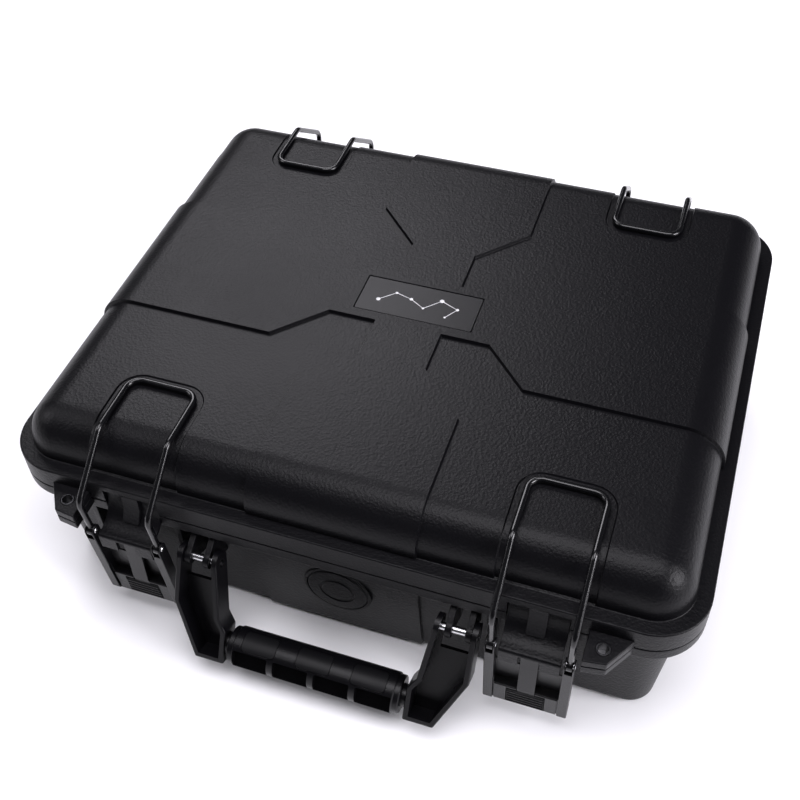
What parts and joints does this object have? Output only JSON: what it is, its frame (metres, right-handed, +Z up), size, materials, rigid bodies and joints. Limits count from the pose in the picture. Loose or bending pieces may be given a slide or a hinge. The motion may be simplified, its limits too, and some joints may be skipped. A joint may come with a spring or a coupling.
{
  "type": "telescope carry case",
  "caption": "Hinged hard plastic carry case with wire-bail draw latches, folding handle, seal and fitted foam for a small telescope and its accessories.",
  "frame": {"origin": "centre of the tub's flat underside", "axes": "+Z up, +X to the case's right as seen from the front, -Y towards the handle and latches"},
  "size_m": [0.436, 0.4219, 0.1474],
  "materials": {
    "case_plastic": "black moulded polypropylene with a fine grain",
    "hardware_plastic": "black glass-filled nylon, semi-gloss",
    "coated_wire": "gloss black coated steel wire",
    "steel": "bright plated steel",
    "foam": "charcoal open-cell foam",
    "seal_rubber": "black seal rubber",
    "grip_rubber": "black soft-touch rubber",
    "plate": "satin black plate"
  },
  "bodies": {
    "base": {"base_shell": "case_plastic", "base_foam": "foam", "valve_cap": "case_plastic", "valve_nut": "case_plastic", "padlock_bush_base_left": "steel", "padlock_bush_base_right": "steel", "hinge_pin_left": "steel", "hinge_pin_right": "steel", "handle_pin_left": "steel", "handle_pin_right": "steel"},
    "lid": {"lid_shell": "case_plastic", "lid_seal": "seal_rubber", "lid_foam": "foam", "name_plate": "plate", "padlock_bush_lid_left": "steel", "padlock_bush_lid_right": "steel", "hinge_strap_left": "coated_wire", "hinge_strap_right": "coated_wire"},
    "handle": {"handle_frame": "hardware_plastic", "handle_grip": "hardware_plastic", "grip_tile_1": "grip_rubber", "grip_tile_2": "grip_rubber", "grip_tile_3": "grip_rubber"},
    "bail_left": {"latch_bail_left": "coated_wire"},
    "bail_right": {"latch_bail_right": "coated_wire"},
    "lever_left": {"latch_lever_left": "hardware_plastic", "lever_pin_left_inner": "steel", "lever_pin_left_outer": "steel", "button_spring_left": "steel"},
    "lever_right": {"latch_lever_right": "hardware_plastic", "lever_pin_right_inner": "steel", "lever_pin_right_outer": "steel", "button_spring_right": "steel"},
    "button_left": {"release_button_left": "hardware_plastic"},
    "button_right": {"release_button_right": "hardware_plastic"}
  },
  "joints": [
    {"name": "lid_hinge", "type": "hinge", "parent": "base", "child": "lid", "pos_m": [0, 0.194, 0.084], "axis": [-1, 0, 0], "range_deg": [0, 100]},
    {"name": "handle_swing", "type": "hinge", "parent": "base", "child": "handle", "pos_m": [0, -0.1846, 0.074], "axis": [-1, 0, 0], "range_deg": [-24, 95]},
    {"name": "bail_left_swing", "type": "hinge", "parent": "lid", "child": "bail_left", "pos_m": [-0.1278, -0.116, 0.1454], "axis": [-1, 0, 0], "range_deg": [0, 70]},
    {"name": "bail_right_swing", "type": "hinge", "parent": "lid", "child": "bail_right", "pos_m": [0.1278, -0.116, 0.1454], "axis": [-1, 0, 0], "range_deg": [0, 70]},
    {"name": "lever_left_swing", "type": "hinge", "parent": "bail_left", "child": "lever_left", "pos_m": [-0.1278, -0.194, 0.088], "axis": [-1, 0, 0], "range_deg": [0, 100]},
    {"name": "lever_right_swing", "type": "hinge", "parent": "bail_right", "child": "lever_right", "pos_m": [0.1278, -0.194, 0.088], "axis": [-1, 0, 0], "range_deg": [0, 100]},
    {"name": "button_left_slide", "type": "slide", "parent": "lever_left", "child": "button_left", "axis": [0, -0.0698, 0.9976], "range_m": [0, 0.0025], "stiffness_N_per_m": 300},
    {"name": "button_right_slide", "type": "slide", "parent": "lever_right", "child": "button_right", "axis": [0, -0.0698, 0.9976], "range_m": [0, 0.0025], "stiffness_N_per_m": 300}
  ]
}
